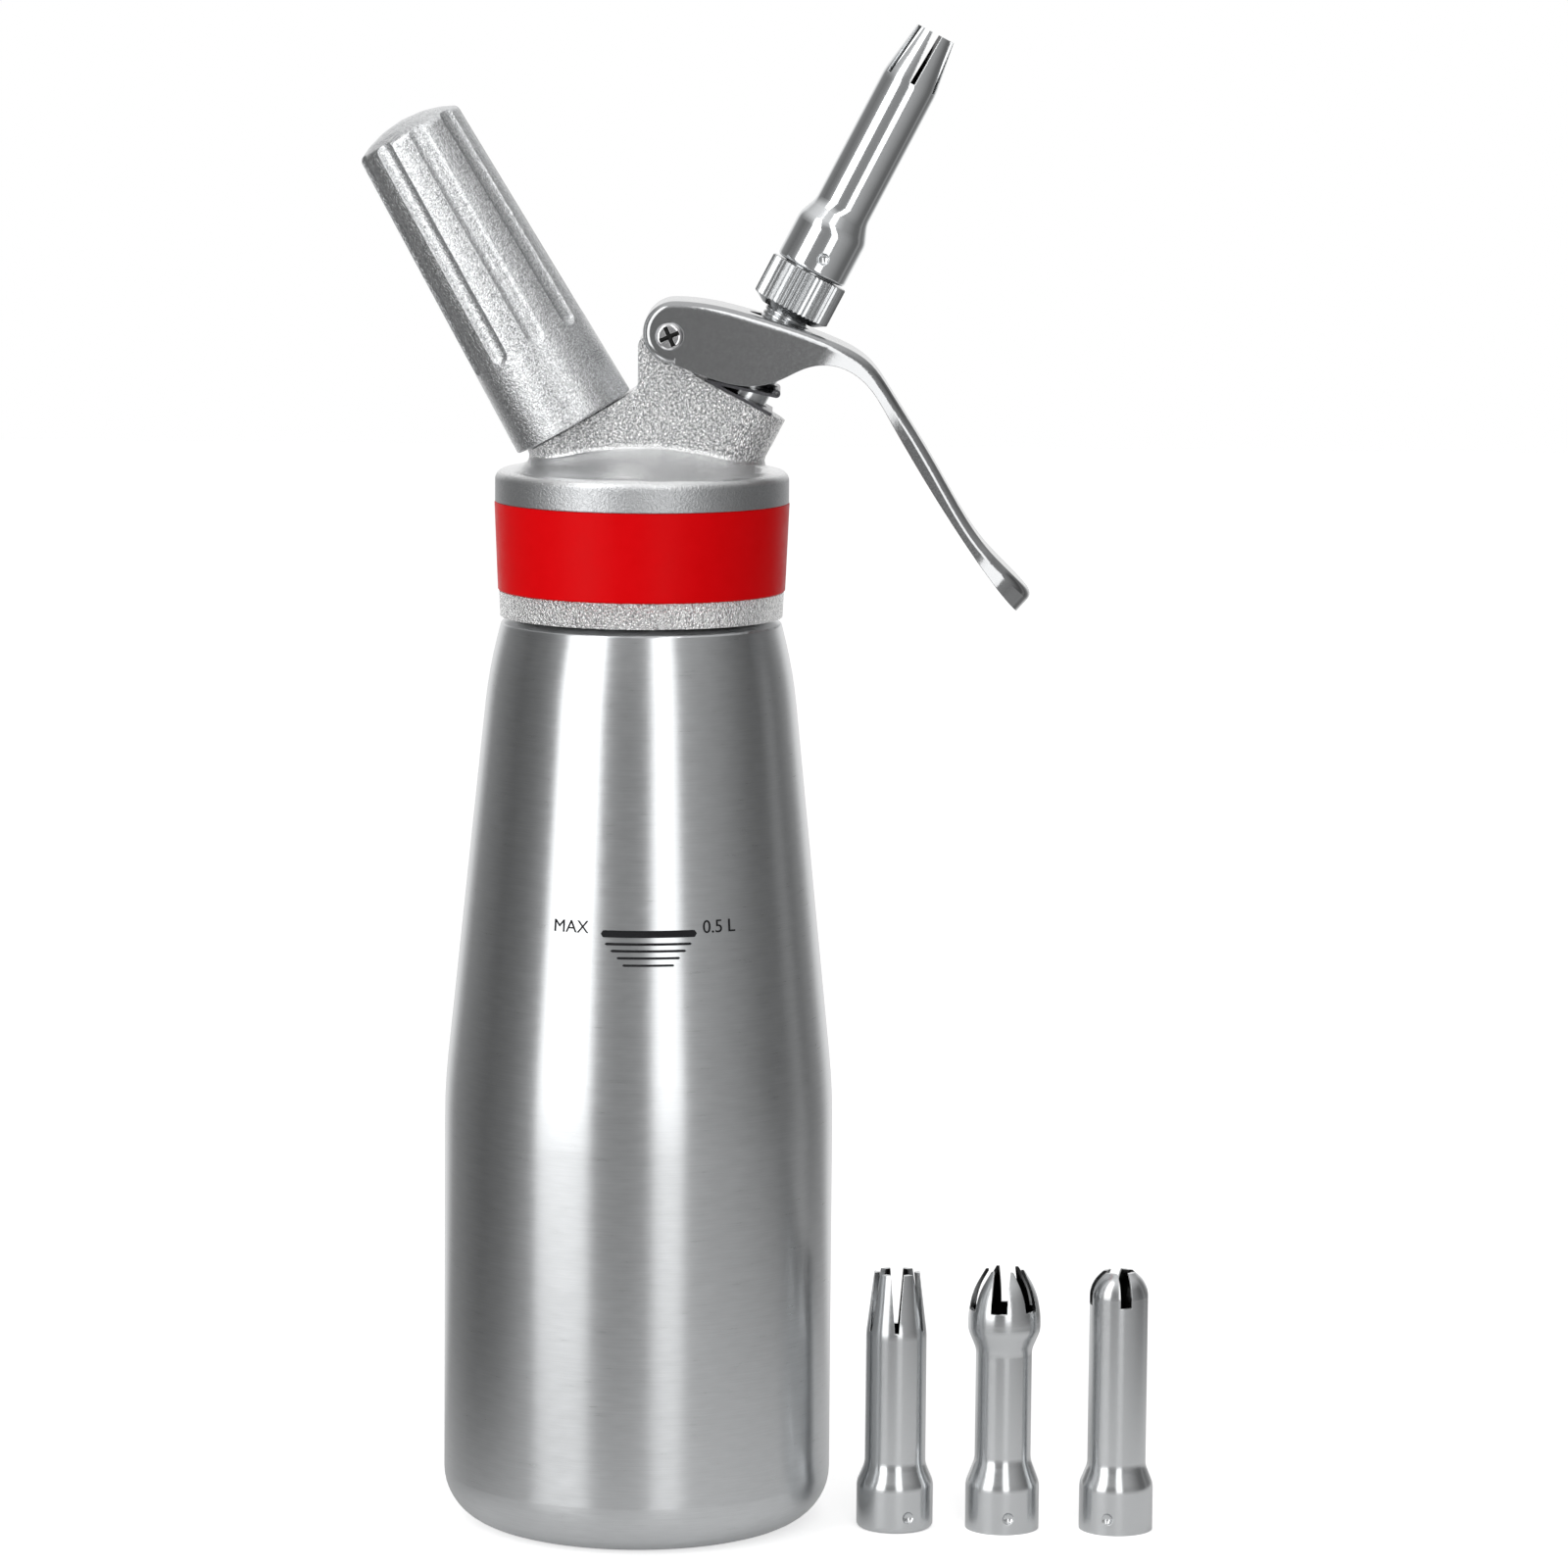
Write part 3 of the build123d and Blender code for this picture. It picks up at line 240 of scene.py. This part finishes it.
# ---------------------------------------------------------------- materials
# Tint of brushed metal, a little bluer than grey, and the painted shade on the inside of tubes
COOL = (0.98, 1.0, 1.015)
INSIDE_SHADE = (0.06, 0.06, 0.06)


def brushed(
    name,
    axis,
    level,
    roughness,
    stretch,
    depth=0.01 * MM,
    across=6000.0,
    contrast=0.05,
    along=1.5,
    shade_inside=False,
):
    """Metal of a brightness, turned or brushed round an axis, with painted shade on surfaces that face its
    axis, such as the inside of a tube, when shade_inside is set.

    stretch is the anisotropy and depth the depth of the marks. across says how fine they are, along how
    soon they change on their way round, and contrast how much their brightness differs.
    """
    metal = Shader(name, (level, level, level), roughness=roughness)
    fine = metal.noise(metal.rings(axis, across, along), 1.0, 3.0, 0.6)
    broad = metal.noise(metal.rings(axis, across * 0.15, 2.0 * along), 1.0, 2.0)
    marks = metal.math("MULTIPLY_ADD", broad, 0.4, metal.math("MULTIPLY", fine, 0.6))
    dark = [level * (1.0 - contrast * 2.0) * part for part in COOL]
    light = [level * (1.0 + contrast * 2.0) * part for part in COOL]
    color = metal.tint(marks, dark, light)
    # Painted shade on the inside of tubes: surfaces that face the axis turn near black
    if shade_inside:
        color = metal.tint(metal.inward(axis), color, INSIDE_SHADE)
    metal.set("Base Color", color)
    metal.set("Roughness", metal.ramp(marks, 0.3, 0.7, roughness * 0.9, roughness * 1.1))
    metal.brush(axis, stretch)
    metal.bump(fine, depth, edge=0.2 * MM)
    return metal


def cast_metal():
    """Cast aluminium: sandy on the slab and the ring under the band, smooth on the dome and the collar."""
    # Share of the grain that the smooth parts keep, and how much the grain changes the shade
    smooth_grain = 0.12
    grain_shade = 3.2
    # Shade of the collar, how much lighter all else is, and how much lighter still the ring is
    collar_shade = 0.12
    bright_shade = 0.55
    ring_shade = 0.35
    metal = Shader("cast_metal", (0.8, 0.8, 0.8), roughness=0.26)
    x, y, z, radius = metal.parts(metal.place())
    fallen = metal.math("POWER", metal.ramp(radius, DOME_INNER, DOME_OUTER, 0.0, 1.0), DOME_CURVE)
    dome = metal.math("MULTIPLY_ADD", fallen, -DOME_RISE, CROWN_TOP + DOME_RISE)
    on_slab = metal.ramp(metal.math("SUBTRACT", z, dome), 0.4 * MM, 1.6 * MM, 0.0, 1.0)
    on_ring = metal.ramp(z, RING_TOP, RING_TOP + 0.2 * MM, 1.0, 0.0)
    over_collar = metal.ramp(z, CROWN_TOP - 2.0 * MM, CROWN_TOP - 0.5 * MM, 0.0, 1.0)
    bright = metal.math("MAXIMUM", over_collar, on_ring)
    sandy = metal.math("MAXIMUM", metal.math("MAXIMUM", on_slab, on_ring), smooth_grain)
    coarse = metal.noise(metal.place(), 1800.0, 2.0, 0.6, 0.3)
    fine = metal.noise(metal.place(), 3600.0, 1.0)
    grain = metal.math("MULTIPLY", metal.math("SUBTRACT", coarse, 0.5), sandy)
    height = metal.math("MULTIPLY", metal.math("MULTIPLY_ADD", fine, 0.3, coarse), sandy)
    plain = metal.math("MULTIPLY_ADD", bright, bright_shade, collar_shade)
    plain = metal.math("MULTIPLY_ADD", on_ring, ring_shade, plain)
    shade = metal.math("MULTIPLY_ADD", grain, grain_shade, plain)
    metal.set("Base Color", metal.tint(shade, (0.42, 0.43, 0.44), WHITE))
    metal.set("Roughness", metal.ramp(bright, 0.0, 1.0, 0.42, 0.25))
    metal.bump(height, 0.9 * MM, edge=0.4 * MM)
    return metal


def holder_satin():
    """Fine bead-blasted aluminium."""
    metal = Shader("holder_satin", (0.66, 0.66, 0.67), roughness=0.22)
    dots = metal.noise(metal.place(HOLDER), 2100.0, 2.0, 0.55, 1.2)
    spread = metal.ramp(dots, 0.3, 0.7, 0.0, 1.0)
    metal.set("Base Color", metal.tint(spread, (0.50, 0.51, 0.52), (0.82, 0.83, 0.84)))
    metal.bump(dots, 0.14 * MM, edge=0.3 * MM)
    return metal


def red_silicone():
    """Satin silicone of the grip band."""
    silicone = Shader("red_silicone", (0.57, 0.0, 0.001), 0.0, 0.36, Specular_IOR_Level=0.05)
    mottle = silicone.noise(silicone.place(), 260.0, 3.0)
    silicone.set("Base Color", silicone.tint(mottle, (0.55, 0.0, 0.001), (0.60, 0.0, 0.002)))
    silicone.set("Roughness", silicone.ramp(mottle, 0.3, 0.7, 0.32, 0.42))
    silicone.bump(silicone.noise(silicone.place(), 5200.0), 0.03 * MM, 0.6, edge=0.3 * MM)
    return silicone


def lever_steel():
    """Polished sheet with faint scuffs."""
    # Its steel is darker than the other steels: painted shade that stands in for the light the lever's cheeks
    # get
    sheet = Shader("lever_polished_steel", (0.40, 0.40, 0.41), roughness=0.14)
    scuffs = sheet.noise(sheet.place(), 2600.0, 2.0, 0.6)
    sheet.set("Base Color", sheet.tint(scuffs, (0.36, 0.365, 0.37), (0.42, 0.425, 0.43)))
    sheet.set("Roughness", sheet.ramp(scuffs, 0.3, 0.7, 0.11, 0.18))
    sheet.bump(scuffs, 0.008 * MM, 0.5, edge=0.2 * MM)
    return sheet


def screw_steel():
    """Steel of the pivot's screw and barrel, with painted shade in the recesses of their heads."""
    screw = Shader("screw_steel", (0.62, 0.62, 0.63), roughness=0.2)
    marks = screw.noise(screw.place(), 2400.0, 2.0)
    screw.set("Roughness", screw.ramp(marks, 0.3, 0.7, 0.15, 0.26))
    sideways = {"Vector": screw.place((PIVOT, 0.0)), "Rotation": (pi / 2, 0.0, 0.0)}
    x, y, z, radius = screw.parts(screw.node("Mapping", sideways).outputs[0])
    # Painted shade: near the pivot's axis and below the heads' ends, the steel turns near black
    sunk = screw.ramp(screw.math("ABSOLUTE", z), SCREW_END - 0.35 * MM, SCREW_END - 0.1 * MM, 1.0, 0.0)
    recess_shade = screw.math("MULTIPLY", sunk, screw.math("LESS_THAN", radius, RECESS_REACH))
    screw.set("Base Color", screw.tint(recess_shade, (0.62, 0.62, 0.63), (0.05, 0.05, 0.05)))
    screw.bump(marks, 0.01 * MM, 0.6, edge=0.15 * MM)
    return screw


def spring_steel():
    """Dark strip of the lever's spring."""
    strip = Shader("spring_dark_steel", (0.13, 0.13, 0.14), roughness=0.25)
    lines = strip.noise(strip.place(VALVE), 1800.0, 3.0)
    strip.set("Base Color", strip.tint(lines, (0.08, 0.08, 0.09), (0.18, 0.18, 0.19)))
    strip.bump(lines, 0.01 * MM, 0.6, edge=0.1 * MM)
    return strip


def bush_brass():
    """Turned brass."""
    brass = Shader("bush_brass", (0.72, 0.52, 0.22), roughness=0.25)
    swirls = brass.noise(brass.rings(VALVE, 5000.0), 1.0, 2.0)
    brass.set("Base Color", brass.tint(swirls, (0.66, 0.46, 0.18), (0.78, 0.58, 0.26)))
    brass.bump(swirls, 0.01 * MM)
    return brass


def seal_rubber():
    """Matt grey rubber."""
    rubber = Shader("seal_rubber", (0.34, 0.34, 0.32), metallic=0.0, roughness=0.6)
    specks = rubber.noise(rubber.place(), 1400.0, 3.0)
    rubber.set("Base Color", rubber.tint(specks, (0.30, 0.30, 0.28), (0.38, 0.38, 0.36)))
    rubber.bump(specks, 0.03 * MM, 0.5)
    return rubber


def mark_ink():
    """Black print of the fill mark."""
    ink = Shader("mark_ink", (0.01, 0.01, 0.011), 0.0, 0.6, Specular_IOR_Level=0.1)
    grain = ink.noise(ink.place(), 3000.0, 2.0)
    ink.set("Base Color", ink.tint(grain, (0.006, 0.006, 0.007), (0.02, 0.02, 0.022)))
    ink.set("Roughness", ink.ramp(grain, 0.3, 0.7, 0.52, 0.68))
    return ink


bottle_steel = brushed("bottle_brushed_steel", UPRIGHT, 0.60, 0.30, 0.85, 0.008 * MM, 5200.0, 0.08, 4.5)
dress("bottle", bottle_steel)
dress("head_body", cast_metal())
dress("charger_holder", holder_satin())
dress("grip_band", red_silicone())
dress("lever", lever_steel())
dress("lever_spring", spring_steel())
screw = screw_steel()
for name in ("pivot_screw", "pivot_barrel", "piercing_pin"):
    dress(name, screw)

nozzle_steel = brushed("nozzle_polished_steel", VALVE, 0.74, 0.11, 0.4, 0.002 * MM, 4200.0, 0.02, shade_inside=True)
dress("fitted_nozzle", nozzle_steel)
dress("valve_stem", brushed("stem_steel", VALVE, 0.60, 0.2, 0.4))
dress("nozzle_adapter", brushed("adapter_steel", VALVE, 0.52, 0.2, 0.4))
for kind in ("star", "tulip", "round"):
    node = f"spare_nozzle_{kind}"
    name = f"spare_steel_{kind}"
    axis = standing_axis(node)
    dress(node, brushed(name, axis, 0.60, 0.22, 0.6, 0.002 * MM, 6500.0, 0.012, shade_inside=True))

dress("gas_charger", brushed("charger_steel", HOLDER, 0.56, 0.25, 0.5))
dress("valve_bush", bush_brass())
rubber = seal_rubber()
SEALS = ("head_gasket", "charger_seal", "check_valve_sleeve", "stem_o_rings", "valve_seal", "nozzle_washer")
for name in SEALS:
    dress(name, rubber)

# ---------------------------------------------------------------- fill mark
INK = mark_ink()
INK_LIFT = 0.02 * MM
INK_THICKNESS = 0.05 * MM
# Pieces that a line is made of, and what each side of it gains, so that its rounded ends aren't points
LINE_STEPS = 48
LINE_MARGIN = 0.02 * MM
# Cap height of the text as a share of its size
CAP_SHARE = 0.73


def on_cone(azimuth, z, lift):
    """Point over the bottle's cone, at an azimuth from the front towards +X."""
    radius = CONE_START_RADIUS - (z - CONE_START) * CONE_SLOPE + lift
    return Vector((sin(azimuth) * radius, -cos(azimuth) * radius, z))


def printed(name, mesh):
    """Give a mesh that lies on the cone its ink, and let it ride on the bottle."""
    piece = bpy.data.objects.new(name, mesh)
    bpy.context.scene.collection.objects.link(piece)
    mesh.materials.clear()
    mesh.materials.append(INK.material)
    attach(piece, "bottle")


def printed_line(name, low, high, start, end):
    """Line round the cone between two heights in mm and two azimuths in degrees, with rounded ends."""
    form = bmesh.new()
    half = (high - low) / 2.0 * MM
    middle = (high + low) / 2.0 * MM
    rings = []
    for step in range(LINE_STEPS + 1):
        turn = radians(start + (end - start) * step / LINE_STEPS)
        from_end = min(step, LINE_STEPS - step) / LINE_STEPS * radians(end - start) * CONE_START_RADIUS
        inset = max(0.0, half - from_end)
        rise = (half * half - inset * inset) ** 0.5 + LINE_MARGIN
        corners = ((-rise, 0.0), (rise, 0.0), (rise, INK_THICKNESS), (-rise, INK_THICKNESS))
        rings.append([form.verts.new(on_cone(turn, middle + up, INK_LIFT + out)) for up, out in corners])
    for first, second in zip(rings, rings[1:]):
        for side in range(4):
            after = (side + 1) % 4
            form.faces.new((first[side], first[after], second[after], second[side]))
    form.faces.new(rings[0])
    form.faces.new(reversed(rings[-1]))
    bmesh.ops.recalc_face_normals(form, faces=form.faces)
    mesh = bpy.data.meshes.new(name)
    form.to_mesh(mesh)
    form.free()
    printed(name, mesh)


def printed_word(name, words, cap_height, baseline, start):
    """Words on the cone: cap height and baseline in mm, the azimuth of their left edge in degrees."""
    data = bpy.data.curves.new(name, "FONT")
    data.body = words
    data.size = cap_height / CAP_SHARE * MM
    data.extrude = INK_THICKNESS / 2.0
    data.resolution_u = 6
    text = bpy.data.objects.new(name, data)
    bpy.context.scene.collection.objects.link(text)
    bpy.context.view_layer.update()
    mesh = bpy.data.meshes.new_from_object(text)
    bpy.data.objects.remove(text)
    form = bmesh.new()
    form.from_mesh(mesh)
    bmesh.ops.triangulate(form, faces=form.faces)
    left = min(vert.co.x for vert in form.verts)
    radius = CONE_START_RADIUS - (baseline * MM - CONE_START) * CONE_SLOPE
    for vert in form.verts:
        turn = radians(start) + (vert.co.x - left) / radius
        vert.co = on_cone(turn, baseline * MM + vert.co.y, INK_LIFT + INK_THICKNESS / 2.0 + vert.co.z)
    form.to_mesh(mesh)
    form.free()
    printed(name, mesh)


printed_line("mark_full", 131.62, 133.04, -11.1, 19.7)
printed_line("mark_2", 130.0, 130.48, -9.8, 18.0)
printed_line("mark_3", 128.58, 129.04, -7.9, 16.1)
printed_line("mark_4", 127.13, 127.57, -5.9, 14.1)
printed_line("mark_5", 125.64, 126.06, -4.05, 12.2)
printed_word("mark_word", "MAX", 2.7, 132.3, -26.9)
printed_word("mark_volume", "0.5 L", 2.8, 132.3, 21.9)

# ---------------------------------------------------------------- floor
FLOOR_SIZE = 6.0
# Light of its own that the floor adds for the camera, and for shiny surfaces that mirror it
FLOOR_SEEN = 0.6
FLOOR_MIRRORED = 0.14
# Centre in metres, and distances from it between which the floor's reflection fades into the studio's
NEAR_FLOOR = (Vector((0.10, 0.0, 0.0)), 0.0)
FADE_START = 0.08
FADE_END = 0.27

bpy.ops.mesh.primitive_plane_add(size=FLOOR_SIZE)
floor = bpy.context.object
floor.name = "floor"
paper = Shader("floor_white", (0.8, 0.8, 0.8), metallic=0.0, roughness=0.9)
mottle = paper.noise(paper.place(), 3.0)
paper.set("Base Color", paper.tint(mottle, (0.79, 0.79, 0.79), (0.81, 0.81, 0.81)))
path = paper.node("LightPath").outputs
seen = paper.math("MAXIMUM", path["Is Camera Ray"], path["Is Transmission Ray"])
seen = paper.math("MULTIPLY", seen, FLOOR_SEEN)
paper.set("Emission Color", (*WHITE, 1.0))
paper.set("Emission Strength", paper.math("MULTIPLY_ADD", path["Is Glossy Ray"], FLOOR_MIRRORED, seen))
x, y, z, radius = paper.parts(paper.place(NEAR_FLOOR))
far = paper.math("MULTIPLY", path["Is Glossy Ray"], paper.ramp(radius, FADE_START, FADE_END, 0.0, 1.0))
distant = paper.node("Emission", {"Color": paper.studio(paper.place())})
mixed = paper.node("MixShader", {0: far, 1: paper.bsdf.outputs[0], 2: distant.outputs[0]})
paper.tree.links.new(mixed.outputs[0], paper.tree.nodes["Material Output"].inputs["Surface"])
floor.data.materials.append(paper.material)

# ---------------------------------------------------------------- light
# Brightness of the world for matt surfaces
AMBIENT = 0.55
# Height of the upright lights, and how far they stand from the bottle's axis, in metres
STRIP_HEIGHT = 1.2
STRIP_DISTANCE = 0.55

world = bpy.data.worlds.new("studio")
bpy.context.scene.world = world
world.use_nodes = True
sky = Nodes(world.node_tree)
path = sky.node("LightPath").outputs
level = sky.studio(sky.node("TexCoord").outputs["Generated"])
mirrored = sky.math("MAXIMUM", path["Is Glossy Ray"], path["Is Transmission Ray"])
unseen = sky.tint(mirrored, (AMBIENT, AMBIENT, AMBIENT), level)
shown = sky.tint(path["Is Camera Ray"], unseen, WHITE)
sky.tree.links.new(shown, sky.tree.nodes["Background"].inputs["Color"])


def strip_light(name, azimuth, width, radiance):
    """Soft upright light that stands on the floor at an azimuth from the front and faces the object."""
    data = bpy.data.lights.new(name, "AREA")
    data.shape = "RECTANGLE"
    data.size = width
    data.size_y = STRIP_HEIGHT
    data.energy = radiance * pi * width * STRIP_HEIGHT
    light = bpy.data.objects.new(name, data)
    light.visible_camera = False
    bpy.context.scene.collection.objects.link(light)
    turn = radians(azimuth)
    middle = STRIP_HEIGHT / 2.0
    place = Vector((sin(turn) * STRIP_DISTANCE, -cos(turn) * STRIP_DISTANCE, middle))
    facing = (Vector((0.0, 0.0, middle)) - place).normalized()
    light.matrix_world = Matrix.Translation(place) @ facing.to_track_quat("-Z", "Y").to_matrix().to_4x4()


strip_light("left_strip", -43.0, 0.32, 2.4)
strip_light("front_strip", 18.0, 0.17, 2.1)

# ---------------------------------------------------------------- camera
CAMERA_PLACE = Vector((30.53, -1327.73, 333.2)) * MM
CAMERA_DOWN = radians(7.469)
CAMERA_ROLL = radians(0.487)
CAMERA_LENS = 144.48

camera_data = bpy.data.cameras.new("camera")
camera_data.lens = CAMERA_LENS
camera_data.sensor_width = 36.0
camera = bpy.data.objects.new("camera", camera_data)
bpy.context.scene.collection.objects.link(camera)
turned = Matrix.Rotation(pi / 2 - CAMERA_DOWN, 4, "X") @ Matrix.Rotation(CAMERA_ROLL, 4, "Z")
camera.matrix_world = Matrix.Translation(CAMERA_PLACE) @ turned
bpy.context.scene.camera = camera
bpy.context.scene.view_settings.view_transform = "Standard"
